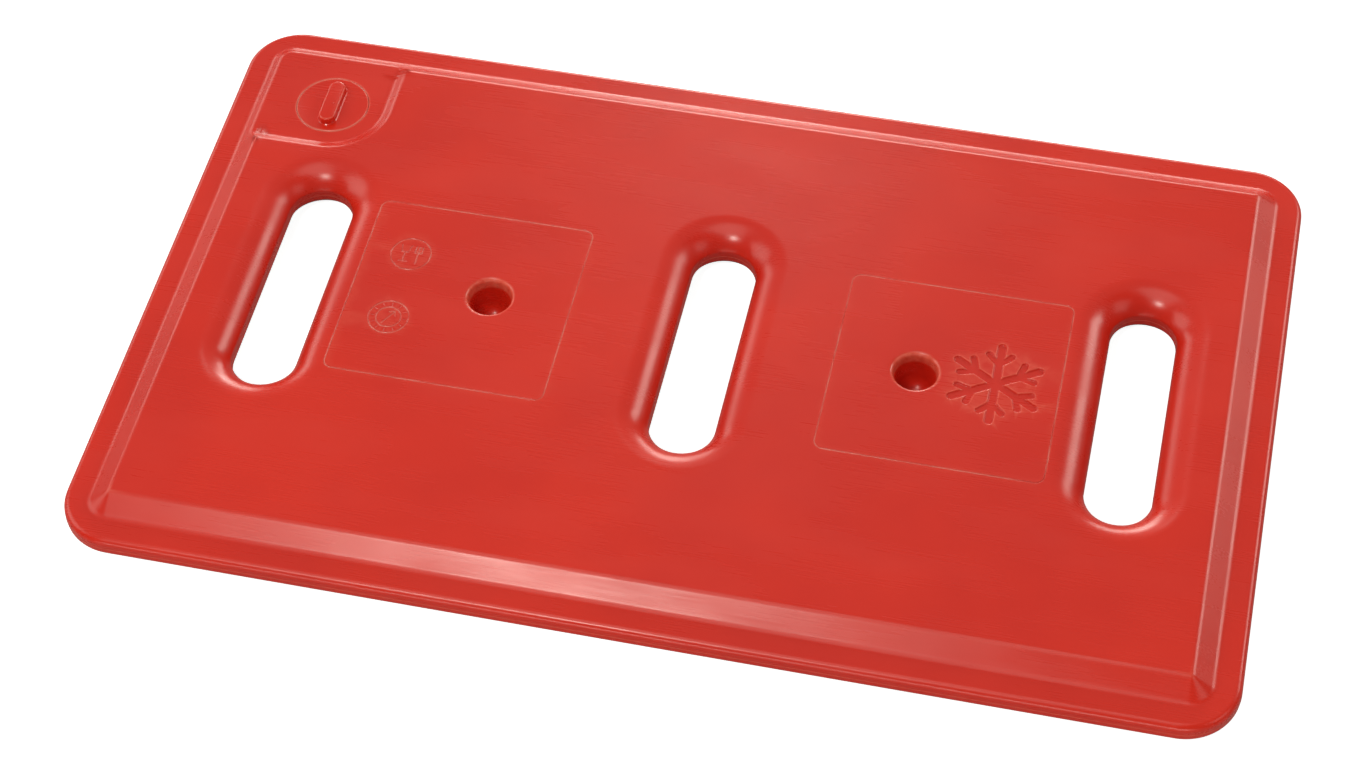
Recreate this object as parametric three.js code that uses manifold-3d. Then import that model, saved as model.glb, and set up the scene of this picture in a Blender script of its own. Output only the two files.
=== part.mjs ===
// Eutectic cold plate in the 1/1 gastronorm format: a flat blow-moulded hollow
// plate with three hand slots, filled with gel through a screw plug in one corner.
// Millimetres, +Z up. The origin is under the middle of the plate, on its bottom face.
import * as THREE from 'three';
import { mergeVertices } from 'three/addons/utils/BufferGeometryUtils.js';
import Module from 'manifold-3d';

const wasm = await Module();
wasm.setup();

// Plate envelope. The plate is symmetric about its parting plane at half height.
const LENGTH = 530;
const WIDTH = 325;
const THICK = 25;
const WALL = 2.5;
const GAP = 0.3;
const CUT = 0.02;

// Rim that runs round the plate, and the sloped facets up to the raised face.
const RIM_CORNER_R = 26;
const RIM_H = 10.6;
const RIM_EDGE_R = 3.3;
const RIM_W_X = 12.1;
const RIM_W_Y = 12.9;
const FACET_W = 10.2;
const FACET_H = (THICK - RIM_H) / 2;
const FACE_LENGTH = LENGTH - 2 * (RIM_W_X + FACET_W);
const FACE_WIDTH = WIDTH - 2 * (RIM_W_Y + FACET_W);
const FACE_CORNER_R = 0.6;
const FACET_INSET = WALL * (Math.hypot(FACET_W, FACET_H) - FACET_W) / FACET_H;

// Hand slots: a straight land at half height and a rounded flare to each face.
const SLOT_PITCH = 200;
const SLOT_W = 30.9;
const SLOT_LENGTH = 122.4;
const SLOT_LAND = 5;
const FLARE_R = 18;
const FLARE_H = (THICK - SLOT_LAND) / 2;
const FLARE_W = Math.sqrt(FLARE_R ** 2 - (FLARE_R - FLARE_H) ** 2);

// Kiss-off dimples, where the top wall is pressed down onto the bottom wall.
const DIMPLES = [[-103.5, 4.5], [100, 0]];
const DIMPLE_R = 10.3;
const DIMPLE_LIP_R = 2.2;
const DIMPLE_FLOOR_R = 8.6;
const DIMPLE_FLOOR = 4.5;

// Filler pad sunk into the back left corner, with the plug's well in it.
const PAD_FLOOR = THICK - 3.6;
const PAD_RIGHT = -187;
const PAD_FRONT = 86.5;
const PAD_CORNER_R = 25;
const PAD_STEP_W = 5.3;
const PLUG_X = -213;
const PLUG_Y = 112.5;
const WELL_R = 18.05;
const SEAT_Z = 16.7;
const NECK_HOLE_R = 15;

// Threaded neck and plug. The thread is a round-crested right-hand one.
const PITCH = 4;
const NECK_R = 14.7;
const NECK_BOTTOM = 5.5;
const NECK_BORE_R = 13.2;
const STUD_R = 11.5;
const STUD_BORE_R = 8.5;
const STUD_BOTTOM = 7;
const THREAD_WIRE_R = 1.1;
const THREAD_START = NECK_BOTTOM + 1.6;
const THREAD_STEPS = 18;
const HEAD_R = 17.7;
const HEAD_H = 2.5;
const GRIP_W = 8.8;
const GRIP_LENGTH = 27;
const GRIP_H = 3.5;
const SEAL_WIRE_R = 0.8;
const SEAL_R = 16.1;
const SEAL_BOSS_R = 15;

// Shallow marks in the top face.
const MARK_DEPTH = 0.4;
const MARK_W = 0.8;
const SQUARES = [[-116.8, 0.9], [114.2, 0]];
const SQUARE_SIDE = 105.5;
const SQUARE_CORNER_R = 4.5;
const DIAL_X = -147;
const FOOD_DIAL_Y = 22.5;
const DATE_DIAL_Y = -17;
const DIAL_R = 10;
const DATE_DIAL_INNER_R = 6.3;
const FLAKE = [137, 0];
const FLAKE_R = 24;
const FLAKE_ARM_W = 4.6;
const FLAKE_DEPTH = 0.9;

const GEL_TOP = 20.5;

// --- solids -----------------------------------------------------------------

function solid(geometry, x = 0, y = 0, z = 0) {
  const clean = geometry.clone().translate(x, y, z);
  clean.deleteAttribute('normal');
  clean.deleteAttribute('uv');
  const merged = mergeVertices(clean, 1e-4);
  const mesh = new wasm.Mesh({
    numProp: 3,
    vertProperties: new Float32Array(merged.attributes.position.array),
    triVerts: new Uint32Array(merged.index.array),
  });
  return new wasm.Manifold(mesh);
}

function union(...solids) {
  return solids.reduce((sum, next) => sum.add(next));
}

function cut(body, cutters) {
  return cutters.reduce((rest, cutter) => rest.subtract(cutter), body);
}

function toGeometry(body) {
  const mesh = body.getMesh();
  const geometry = new THREE.BufferGeometry();
  const points = [];
  for (let i = 0; i < mesh.vertProperties.length; i += mesh.numProp) {
    points.push(...mesh.vertProperties.slice(i, i + 3));
  }
  geometry.setAttribute('position', new THREE.Float32BufferAttribute(points, 3));
  geometry.setIndex(Array.from(mesh.triVerts));
  geometry.computeVertexNormals();
  return geometry;
}

// --- outlines -----------------------------------------------------------------

function roundedRect(width, height, radius, Kind = THREE.Shape) {
  const x = width / 2 - radius;
  const y = height / 2 - radius;
  const outline = new Kind();
  outline.absarc(x, y, radius, 0, Math.PI / 2);
  outline.absarc(-x, y, radius, Math.PI / 2, Math.PI);
  outline.absarc(-x, -y, radius, Math.PI, 1.5 * Math.PI);
  outline.absarc(x, -y, radius, 1.5 * Math.PI, 2 * Math.PI);
  outline.closePath();
  return outline;
}

function stadium(radius, length) {
  const straight = length / 2 - radius;
  const outline = new THREE.Shape();
  outline.absarc(0, straight, radius, 0, Math.PI);
  outline.absarc(0, -straight, radius, Math.PI, 2 * Math.PI);
  outline.closePath();
  return outline;
}

// Outline of the filler pad: square at the plate's corner, rounded at its own.
function padOutline(grow) {
  const right = PAD_RIGHT + grow;
  const front = PAD_FRONT - grow;
  const radius = PAD_CORNER_R + grow;
  const outline = new THREE.Shape();
  outline.moveTo(-LENGTH, front);
  outline.lineTo(right - radius, front);
  outline.absarc(right - radius, front + radius, radius, -Math.PI / 2, 0);
  outline.lineTo(right, WIDTH);
  outline.lineTo(-LENGTH, WIDTH);
  outline.closePath();
  return outline;
}

// A prism between two heights whose two ends taper by `size` over `rise`.
// One segment gives a flat facet, more give a quarter round; a negative size
// makes the waist narrower than the ends.
function prism(shape, bottom, top, rise, size, segments, curveSegments) {
  const geometry = new THREE.ExtrudeGeometry(shape, {
    depth: top - bottom - 2 * rise,
    bevelEnabled: rise > 0,
    bevelThickness: rise,
    bevelSize: size,
    bevelSegments: segments,
    curveSegments,
  });
  return geometry.translate(0, 0, bottom + rise);
}

function lathe(profile, segments) {
  const points = profile.map(([radius, z]) => new THREE.Vector2(radius, z));
  return new THREE.LatheGeometry(points, segments).rotateX(Math.PI / 2);
}

function disc(radius, bottom, top, segments = 36) {
  return lathe([[0, bottom], [radius, bottom], [radius, top], [0, top]], segments);
}

// --- hollow plate -------------------------------------------------------------

// The plate's outer form for inset 0, or the form of its cavity for a larger one.
function plateForm(inset) {
  const foot = FACET_INSET * inset / WALL;
  const face = roundedRect(FACE_LENGTH - 2 * foot, FACE_WIDTH - 2 * foot, FACE_CORNER_R);
  const raised = solid(prism(face, inset, THICK - inset, FACET_H, FACET_W, 1, 1));
  const edge = Math.max(RIM_EDGE_R - inset, 0.8);
  const outline = roundedRect(
    LENGTH - 2 * (inset + edge),
    WIDTH - 2 * (inset + edge),
    RIM_CORNER_R - inset - edge,
  );
  const bottom = FACET_H + inset;
  const segments = inset > 0 ? 1 : 3;
  const rim = solid(prism(outline, bottom, THICK - bottom, edge, edge, segments, 3));
  return union(raised, rim);
}

// The air of the hand slots, grown by `inset` to leave the wall around them.
// Each has a flare from either face, round an upright throat.
function slotForms(inset, curveSegments, bevelSegments) {
  const mouth = stadium(SLOT_W / 2 + FLARE_W, SLOT_LENGTH + 2 * FLARE_W);
  const throat = stadium(SLOT_W / 2 + inset, SLOT_LENGTH + 2 * inset);
  const arc = FLARE_R - inset;
  const reach = 2 * arc + CUT;
  const low = inset - CUT;
  const high = THICK - inset + CUT;
  const tools = [
    prism(mouth, high - reach, high, arc, -arc, bevelSegments, curveSegments),
    prism(mouth, low, low + reach, arc, -arc, bevelSegments, curveSegments),
    prism(throat, -CUT, THICK + CUT, 0, 0, 1, curveSegments),
  ];
  return [-1, 0, 1].flatMap((side) => tools.map((tool) => solid(tool, side * SLOT_PITCH, 0, 0)));
}

function dimpleForms() {
  const profile = [[0, DIMPLE_FLOOR], [DIMPLE_FLOOR_R - 2, DIMPLE_FLOOR]];
  profile.push([DIMPLE_FLOOR_R, DIMPLE_FLOOR + 2]);
  const steps = 3;
  for (let i = 0; i <= steps; i += 1) {
    const angle = (i / steps) * Math.PI / 2;
    profile.push([
      DIMPLE_R + DIMPLE_LIP_R * (1 - Math.cos(angle)),
      THICK - DIMPLE_LIP_R * (1 - Math.sin(angle)) + CUT * (i / steps),
    ]);
  }
  profile.push([0, THICK + CUT]);
  return DIMPLES.map(([x, y]) => solid(lathe(profile, 24), x, y, 0));
}

// The solid column of plastic round each dimple, from the bottom wall up.
function dimpleColumns(inset) {
  const grow = inset - WALL;
  const mouth = DIMPLE_R + DIMPLE_LIP_R + WALL + grow;
  const foot = DIMPLE_FLOOR_R + WALL + grow;
  const profile = [[0, 0], [foot, 0], [DIMPLE_R + WALL + grow, 20], [mouth, THICK], [0, THICK]];
  return DIMPLES.map(([x, y]) => solid(lathe(profile, 14), x, y, 0));
}

function padForm(floor, grow) {
  const top = 2 * THICK;
  const rise = THICK - PAD_FLOOR;
  return solid(prism(padOutline(grow), floor, top, rise, PAD_STEP_W, 1, 4));
}

function cavityForm(inset) {
  const columns = dimpleColumns(inset);
  const slots = slotForms(inset, 4, 3);
  const pad = padForm(PAD_FLOOR - inset, inset / 2);
  const well = solid(disc(WELL_R + inset, SEAT_Z - inset, THICK, 24), PLUG_X, PLUG_Y, 0);
  return cut(plateForm(inset), [...slots, ...columns, pad, well]);
}

// --- marks in the top face ------------------------------------------------------

function groove(shape, x, y, depth = MARK_DEPTH, curveSegments = 6) {
  const geometry = new THREE.ExtrudeGeometry(shape, {
    depth: depth + CUT,
    bevelEnabled: false,
    curveSegments,
  });
  return solid(geometry, x, y, THICK - depth);
}

function squareMark([x, y]) {
  const frame = roundedRect(SQUARE_SIDE, SQUARE_SIDE, SQUARE_CORNER_R);
  const inner = SQUARE_SIDE - 2 * MARK_W;
  frame.holes.push(roundedRect(inner, inner, SQUARE_CORNER_R - MARK_W, THREE.Path));
  return groove(frame, x, y, MARK_DEPTH, 2);
}

function ringMark(radius, y) {
  const ring = new THREE.Shape().absarc(0, 0, radius, 0, 2 * Math.PI);
  ring.holes.push(new THREE.Path().absarc(0, 0, radius - MARK_W, 0, 2 * Math.PI));
  return groove(ring, DIAL_X, y, MARK_DEPTH, 10);
}

// The pointer of the date dial: a shaft with a head at one end.
function pointerMark() {
  const arrow = new THREE.Shape([
    new THREE.Vector2(-0.5, -5.2),
    new THREE.Vector2(0.5, -5.2),
    new THREE.Vector2(0.5, 2.4),
    new THREE.Vector2(2, 2.4),
    new THREE.Vector2(0, 5.2),
    new THREE.Vector2(-2, 2.4),
    new THREE.Vector2(-0.5, 2.4),
  ]);
  const geometry = new THREE.ExtrudeGeometry(arrow, { depth: MARK_DEPTH + CUT, bevelEnabled: false });
  return solid(geometry.rotateZ(-Math.PI / 6), DIAL_X, DATE_DIAL_Y, THICK - MARK_DEPTH);
}

// A plain six-armed snow crystal: three bars with a short barb near each tip.
function flakeMark() {
  const options = { depth: FLAKE_DEPTH + CUT, bevelEnabled: false, curveSegments: 1 };
  const arm = solid(new THREE.ExtrudeGeometry(stadium(FLAKE_ARM_W / 2, 2 * FLAKE_R), options));
  const barb = new THREE.ExtrudeGeometry(stadium(FLAKE_ARM_W / 2 - 0.4, 14), options);
  const pieces = [];
  for (let i = 0; i < 6; i += 1) {
    pieces.push(arm.rotate([0, 0, 60 * i]));
    for (const side of [-1, 1]) {
      const tilted = barb.clone().rotateZ(side * Math.PI / 4).translate(-side * 4, 15.5, 0);
      pieces.push(solid(tilted).rotate([0, 0, 60 * i]));
    }
  }
  return union(...pieces).translate([FLAKE[0], FLAKE[1], THICK - FLAKE_DEPTH]);
}

function marks() {
  return [
    ...SQUARES.map(squareMark),
    ringMark(DIAL_R, FOOD_DIAL_Y),
    ringMark(DIAL_R, DATE_DIAL_Y),
    ringMark(DATE_DIAL_INNER_R, DATE_DIAL_Y),
    pointerMark(),
    flakeMark(),
  ];
}

function buildShell() {
  const well = solid(disc(WELL_R, SEAT_Z, THICK), PLUG_X, PLUG_Y, 0);
  const hole = solid(disc(NECK_HOLE_R, SEAT_Z - 2 * WALL, THICK), PLUG_X, PLUG_Y, 0);
  return cut(plateForm(0), [
    ...slotForms(0, 6, 7),
    ...dimpleForms(),
    padForm(PAD_FLOOR, 0),
    well,
    hole,
    cavityForm(WALL),
    ...marks(),
  ]);
}

// The gel leaves an air space under the top wall and room for the neck.
function buildGel() {
  const keep = solid(new THREE.BoxGeometry(LENGTH, WIDTH, GEL_TOP), 0, 0, GEL_TOP / 2);
  const neckRoom = lathe([
    [0, NECK_BOTTOM - GAP],
    [NECK_R + GAP, NECK_BOTTOM - GAP],
    [NECK_R + GAP, SEAT_Z - WALL - 2.6],
    [WELL_R + WALL + GAP, SEAT_Z - WALL - 2.6],
    [WELL_R + WALL + GAP, THICK],
    [0, THICK],
  ], 24);
  return cavityForm(WALL + GAP).intersect(keep).subtract(solid(neckRoom, PLUG_X, PLUG_Y, 0));
}

// --- neck, seal and plug, about the plug's own axis -----------------------------

class Helix extends THREE.Curve {
  constructor(radius, start, turns) {
    super();
    Object.assign(this, { radius, start, turns });
  }

  getPoint(t, target = new THREE.Vector3()) {
    const angle = t * this.turns * 2 * Math.PI;
    const x = this.radius * Math.cos(angle);
    const y = this.radius * Math.sin(angle);
    return target.set(x, y, this.start + t * this.turns * PITCH);
  }
}

// A round-crested thread; the neck's and the plug's run half a pitch apart.
function threadRidge(radius, start, turns) {
  const section = new THREE.Shape().absarc(0, 0, THREAD_WIRE_R, 0, 2 * Math.PI);
  return solid(new THREE.ExtrudeGeometry(section, {
    extrudePath: new Helix(radius, start, turns),
    steps: Math.round(turns * THREAD_STEPS),
    curveSegments: 4,
    bevelEnabled: false,
  }));
}

function buildNeck() {
  const flangeTop = SEAT_Z - WALL - GAP;
  const body = solid(lathe([
    [NECK_BORE_R, NECK_BOTTOM],
    [NECK_R, NECK_BOTTOM],
    [NECK_R, flangeTop - 2],
    [17.5, flangeTop - 2],
    [17.5, flangeTop],
    [NECK_R, flangeTop],
    [NECK_R, SEAT_Z],
    [NECK_BORE_R + 0.5, SEAT_Z],
    [NECK_BORE_R, SEAT_Z - 0.5],
    [NECK_BORE_R, NECK_BOTTOM],
  ], 32));
  return body.add(threadRidge(NECK_BORE_R, THREAD_START, 2));
}

function buildSeal() {
  return solid(new THREE.TorusGeometry(SEAL_R, SEAL_WIRE_R, 6, 32));
}

function buildPlug() {
  const headBottom = PAD_FLOOR - HEAD_H;
  const edge = 0.6;
  const body = solid(lathe([
    [0, headBottom],
    [STUD_BORE_R, headBottom - 0.6],
    [STUD_BORE_R, STUD_BOTTOM],
    [STUD_R - 0.6, STUD_BOTTOM],
    [STUD_R, STUD_BOTTOM + 0.6],
    [STUD_R, SEAT_Z + 0.4],
    [SEAL_BOSS_R, SEAT_Z + 0.4],
    [SEAL_BOSS_R, headBottom],
    [HEAD_R, headBottom],
    [HEAD_R, PAD_FLOOR - edge],
    [HEAD_R - 0.3 * edge, PAD_FLOOR - 0.3 * edge],
    [HEAD_R - edge, PAD_FLOOR],
    [0, PAD_FLOOR],
  ], 36));
  const draft = 0.7;
  const grip = stadium(GRIP_W / 2 - draft, GRIP_LENGTH - 2 * draft);
  const bar = prism(grip, PAD_FLOOR - 1.5, PAD_FLOOR + GRIP_H, draft, draft, 2, 4);
  const ridge = threadRidge(STUD_R + 0.1, THREAD_START + PITCH / 2, 1.75);
  return union(body, solid(bar), ridge);
}

// --- scene ----------------------------------------------------------------------

function addPiece(group, name, body, color, roughness, x = 0, y = 0, z = 0) {
  const material = new THREE.MeshStandardMaterial({ color, roughness, metalness: 0 });
  const mesh = new THREE.Mesh(toGeometry(body), material);
  mesh.name = name;
  mesh.position.set(x, y, z);
  group.add(mesh);
}

const RED = 0xc83a2c;
const DARK_RED = 0xb43227;
const GEL_BLUE = 0x8fc4dc;
const SEAL_BLACK = 0x1d1d1f;

const group = new THREE.Group();
addPiece(group, 'shell', buildShell(), RED, 0.42);
addPiece(group, 'gel_fill', buildGel(), GEL_BLUE, 0.3);

const filler = new THREE.Group();
filler.position.set(PLUG_X, PLUG_Y, 0);
addPiece(filler, 'filler_neck', buildNeck(), DARK_RED, 0.5);
addPiece(filler, 'plug_seal', buildSeal(), SEAL_BLACK, 0.6, 0, 0, SEAT_Z + GAP + SEAL_WIRE_R);
addPiece(filler, 'filler_plug', buildPlug(), RED, 0.42);
group.add(filler);

export default group;
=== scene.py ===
"""Looks of the eutectic cold plate: a red blow-moulded polyethylene plate with a screw plug.

Lengths in the modelling functions are millimetres in the plate's frame (origin under the
plate's centre, +Z up); meshes are scaled to metres as they are made.
"""

import math

import bpy
import numpy as np
from mathutils import Matrix, Vector
from mathutils.geometry import delaunay_2d_cdt


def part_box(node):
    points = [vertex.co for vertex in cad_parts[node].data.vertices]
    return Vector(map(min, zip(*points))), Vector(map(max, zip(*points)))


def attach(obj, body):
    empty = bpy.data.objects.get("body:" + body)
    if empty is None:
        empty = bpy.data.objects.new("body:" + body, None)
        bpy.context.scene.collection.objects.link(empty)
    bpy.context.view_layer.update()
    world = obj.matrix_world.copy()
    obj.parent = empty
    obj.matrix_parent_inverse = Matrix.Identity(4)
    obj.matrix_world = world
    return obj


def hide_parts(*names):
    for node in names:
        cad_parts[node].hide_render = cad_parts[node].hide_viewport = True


MM = 0.001
TAU = 2 * math.pi

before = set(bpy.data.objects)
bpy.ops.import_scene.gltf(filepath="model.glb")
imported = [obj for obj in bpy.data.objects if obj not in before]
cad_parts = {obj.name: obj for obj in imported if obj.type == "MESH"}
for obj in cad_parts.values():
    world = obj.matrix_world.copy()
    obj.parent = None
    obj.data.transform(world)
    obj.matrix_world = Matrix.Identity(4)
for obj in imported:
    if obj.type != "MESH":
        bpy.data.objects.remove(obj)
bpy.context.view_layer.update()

# Plate, worked out from the frame's box and the few sizes that the box can't give.
LENGTH, WIDTH, THICK = [(high - low) / MM for low, high in zip(*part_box("shell"))]
RIM_CORNER_R = 26
RIM_H = 10.6
RIM_EDGE_R = 3.3
RIM_W_X = 12.1
RIM_W_Y = 12.9
FACET_W = 10.2
FACET_H = (THICK - RIM_H) / 2
RIM_TOP = THICK - FACET_H
FACET_SLOPE = FACET_H / FACET_W
FOOT_CORNER_R = FACET_W + 0.6
FACE_BLEND = 1.0
FOOT_BLEND = 1.1
FOOT_X = LENGTH / 2 - RIM_W_X
FOOT_Y = WIDTH / 2 - RIM_W_Y

SLOT_PITCH = 200
SLOT_R = 30.9 / 2
SLOT_STRAIGHT = 122.4 / 2 - SLOT_R
SLOT_LAND = 5
FLARE_R = 18
FLARE_H = (THICK - SLOT_LAND) / 2
FLARE_W = math.sqrt(FLARE_R**2 - (FLARE_R - FLARE_H) ** 2)

DIMPLES = [(-103.5, 4.5), (100, 0)]
DIMPLE_R = 10.3
DIMPLE_LIP_R = 2.2
DIMPLE_FLOOR_R = 8.6
DIMPLE_FLOOR = 4.5
DIMPLE_FILLET = 8.0

PAD_FLOOR = THICK - 3.6
PAD_RIGHT = -187
PAD_FRONT = 86.5
PAD_CORNER_R = 25
PAD_SLOPE = (THICK - PAD_FLOOR) / 5.3
PAD_BLEND = 1.1

# The plug's axis is the middle of its CAD node.
PLUG_LOW, PLUG_HIGH = [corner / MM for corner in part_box("filler_plug")]
PLUG_X = (PLUG_LOW.x + PLUG_HIGH.x) / 2
PLUG_Y = (PLUG_LOW.y + PLUG_HIGH.y) / 2
WELL_R = 18.05
WELL_LIP_R = 0.5
SEAT_Z = 16.7
NECK_HOLE_R = 15.0
NECK_HOLE_BOTTOM = SEAT_Z - 2.5

MARK_DEPTH = 0.4
MARK_HALF_W = 0.4
SQUARES = [(-116.8, 0.9), (114.2, 0)]
SQUARE_HALF = 105.5 / 2 - MARK_HALF_W
SQUARE_CORNER_R = 4.3
DIAL_X = -147
FOOD_DIAL_Y = 22.5
DATE_DIAL_Y = -17
DIAL_R = 9.6
DATE_DIAL_INNER_R = 5.9
FLAKE_X = 137
FLAKE_HALF_W = 2.3
FLAKE_ARM = 24 - FLAKE_HALF_W
FLAKE_BARB_HALF_W = 1.9
FLAKE_BARB_AT = 11.5
FLAKE_BARB_REACH = 5.2
FLAKE_DEPTH = 0.9
FLAKE_EDGE = 0.7
DIAL_TICKS = 12
ARROW_ANGLE = 60
ARROW_HALF_LENGTH = 4.6
# Half width and fade of the painted highlight along the scored lines and the well's rim.
HIGHLIGHT_HALF_W = 0.34
HIGHLIGHT_FADE = 0.2

# The fine moulding seam at half height, round the edge and in the slots.
SEAM_H = 0.35
SEAM_W = 0.12

# How finely the meshes are cut.
PLAN_STEP = 9.0
RIM_CORNER_STEPS = 24
EDGE_STEPS = 7
SLOT_END_STEPS = 28
SLOT_SIDE_STEP = 7.0
SLOT_RINGS = 18
DIMPLE_STEPS = 56
PLUG_STEPS = 96


# --- shape functions over arrays of x and y ---------------------------------------


def smooth_min(a, b, blend):
    """The lower of two heights, rounded over where they cross."""
    h = np.clip(0.5 + 0.5 * (b - a) / blend, 0, 1)
    return b * (1 - h) + a * h - blend * h * (1 - h)


def smooth_max(a, b, blend):
    return -smooth_min(-a, -b, blend)


def rounded_box_distance(x, y, half_x, half_y, radius):
    """Distance outward from a rounded rectangle, negative inside."""
    qx = np.abs(x) - half_x + radius
    qy = np.abs(y) - half_y + radius
    outside = np.hypot(np.maximum(qx, 0), np.maximum(qy, 0))
    return outside + np.minimum(np.maximum(qx, qy), 0) - radius


def slot_distance(x, y):
    """Distance from the nearest slot's long centre line."""
    dx = np.min([np.abs(x - side * SLOT_PITCH) for side in (-1, 0, 1)], axis=0)
    dy = np.maximum(np.abs(y) - SLOT_STRAIGHT, 0)
    return np.hypot(dx, dy)


def dimple_distance(x, y):
    """Distance from the nearest dimple's axis."""
    return np.min([np.hypot(x - cx, y - cy) for cx, cy in DIMPLES], axis=0)


def plug_distance(x, y):
    """Distance from the plug's axis."""
    return np.hypot(x - PLUG_X, y - PLUG_Y)


def pad_distance(x, y):
    """Distance outward from the foot of the filler pad's step."""
    qx = x - (PAD_RIGHT - PAD_CORNER_R)
    qy = (PAD_FRONT + PAD_CORNER_R) - y
    outside = np.hypot(np.maximum(qx, 0), np.maximum(qy, 0))
    return outside + np.minimum(np.maximum(qx, qy), 0) - PAD_CORNER_R


def segment_distance(x, y, start, end):
    """Distance from a straight stroke."""
    (ax, ay), (bx, by) = start, end
    dx, dy = bx - ax, by - ay
    t = np.clip(((x - ax) * dx + (y - ay) * dy) / (dx * dx + dy * dy), 0, 1)
    return np.hypot(x - ax - t * dx, y - ay - t * dy)


def turned(along, across, angle):
    """A point given along and across a spoke at an angle in degrees."""
    a = math.radians(angle)
    return (
        along * math.cos(a) - across * math.sin(a),
        along * math.sin(a) + across * math.cos(a),
    )


def flake_bars():
    """The snow crystal's bars as (start, end, half width), about its own centre."""
    bars = []
    for i in range(6):
        angle = 90 + 60 * i
        bars.append(((0, 0), turned(FLAKE_ARM, 0, angle), FLAKE_HALF_W))
        for side in (-1, 1):
            reach = FLAKE_BARB_REACH
            root = turned(FLAKE_BARB_AT, 0, angle)
            tip = turned(FLAKE_BARB_AT + reach, side * reach, angle)
            bars.append((root, tip, FLAKE_BARB_HALF_W))
    return bars


def flake_distance(x, y):
    """Distance outward from the snow crystal's outline."""
    bars = flake_bars()
    gaps = [segment_distance(x - FLAKE_X, y, a, b) - half for a, b, half in bars]
    return np.min(gaps, axis=0)


def dial_lines(x, y):
    """Distance to the nearest line of the two dials."""
    food = np.hypot(x - DIAL_X, y - FOOD_DIAL_Y)
    date = np.hypot(x - DIAL_X, y - DATE_DIAL_Y)
    lines = [np.abs(food - DIAL_R), np.abs(date - DIAL_R), np.abs(date - DATE_DIAL_INNER_R)]
    u, v = x - DIAL_X, y - DATE_DIAL_Y
    for i in range(DIAL_TICKS):
        angle = 360 / DIAL_TICKS * i
        start = turned(DATE_DIAL_INNER_R + 1.3, 0, angle)
        end = turned(DIAL_R - 1.0, 0, angle)
        lines.append(segment_distance(u, v, start, end) + 0.15)
    tip = turned(ARROW_HALF_LENGTH, 0, ARROW_ANGLE)
    tail = turned(-ARROW_HALF_LENGTH, 0, ARROW_ANGLE)
    lines.append(segment_distance(u, v, tail, tip))
    for side in (-1, 1):
        barb = turned(2.4, side * 1.9, ARROW_ANGLE)
        lines.append(segment_distance(u, v, barb, tip))
    return np.min(lines + food_symbol_lines(x - DIAL_X, y - FOOD_DIAL_Y), axis=0)


def food_symbol_lines(u, v):
    """Distances to the strokes of a plain cup and fork, the usual food-contact sign."""
    strokes = [
        ((-5.4, 5.2), (-4.6, 1.0)),
        ((-0.6, 5.2), (-1.4, 1.0)),
        ((-4.6, 1.0), (-1.4, 1.0)),
        ((-3.0, 1.0), (-3.0, -4.8)),
        ((-5.0, -4.8), (-1.0, -4.8)),
        ((3.4, 1.2), (3.4, -5.4)),
        ((1.8, 1.2), (5.0, 1.2)),
        ((1.8, 1.2), (1.8, 5.0)),
        ((3.4, 1.2), (3.4, 5.0)),
        ((5.0, 1.2), (5.0, 5.0)),
    ]
    return [segment_distance(u, v, a, b) for a, b in strokes]


def square_lines(x, y):
    """Distance to the nearest line of the two scored squares."""
    gaps = []
    for cx, cy in SQUARES:
        away = rounded_box_distance(x - cx, y - cy, SQUARE_HALF, SQUARE_HALF, SQUARE_CORNER_R)
        gaps.append(np.abs(away))
    return np.min(gaps, axis=0)


def groove_depth(distance):
    """A shallow round-bottomed line."""
    reach = np.clip(1 - distance / MARK_HALF_W, 0, 1)
    return MARK_DEPTH * reach * reach * (3 - 2 * reach)


def frosting(x, y):
    """How much a point lies on a scored line or the well's rim, where a painted highlight makes
    the plastic pale: 0 to 1.
    """
    lines = np.minimum(dial_lines(x, y), square_lines(x, y))
    well = np.abs(plug_distance(x, y) - WELL_R)
    return np.clip((HIGHLIGHT_HALF_W - np.minimum(lines, well)) / HIGHLIGHT_FADE, 0, 1)


def slot_height(x, y):
    """Height of the rounded flare round a slot, and the full height away from it."""
    reach = np.clip(SLOT_R + FLARE_W - slot_distance(x, y), 0, FLARE_W)
    return THICK - FLARE_R + np.sqrt(FLARE_R**2 - reach * reach)


def dimple_height(x, y):
    """Height of a dimple's lip, tapered wall and round floor, and the full height away from it."""
    radius = dimple_distance(x, y)
    lip = np.clip((DIMPLE_R + DIMPLE_LIP_R - radius) / DIMPLE_LIP_R, 0, 1)
    z = THICK - DIMPLE_LIP_R * (1 - np.sqrt(1 - lip * lip))
    wall_top = THICK - DIMPLE_LIP_R
    wall_foot = DIMPLE_FLOOR + DIMPLE_FILLET
    wall = (DIMPLE_R - radius) / (DIMPLE_R - DIMPLE_FLOOR_R)
    z = np.where(radius < DIMPLE_R, wall_top + (wall_foot - wall_top) * np.minimum(wall, 1), z)
    fillet = np.clip((radius - DIMPLE_FLOOR_R + DIMPLE_FILLET) / DIMPLE_FILLET, 0, 0.999)
    floor = wall_foot - DIMPLE_FILLET * np.sqrt(1 - fillet * fillet)
    return np.where(radius < DIMPLE_FLOOR_R, floor, z)


def plate_height(x, y):
    """Height of either face of the plate without its slots, measured from the other side."""
    inset = -rounded_box_distance(x, y, FOOT_X, FOOT_Y, FOOT_CORNER_R)
    z = smooth_min(RIM_TOP + FACET_SLOPE * inset, np.full_like(x, THICK), FACE_BLEND)
    return smooth_max(z, np.full_like(x, RIM_TOP), FOOT_BLEND)


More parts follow.
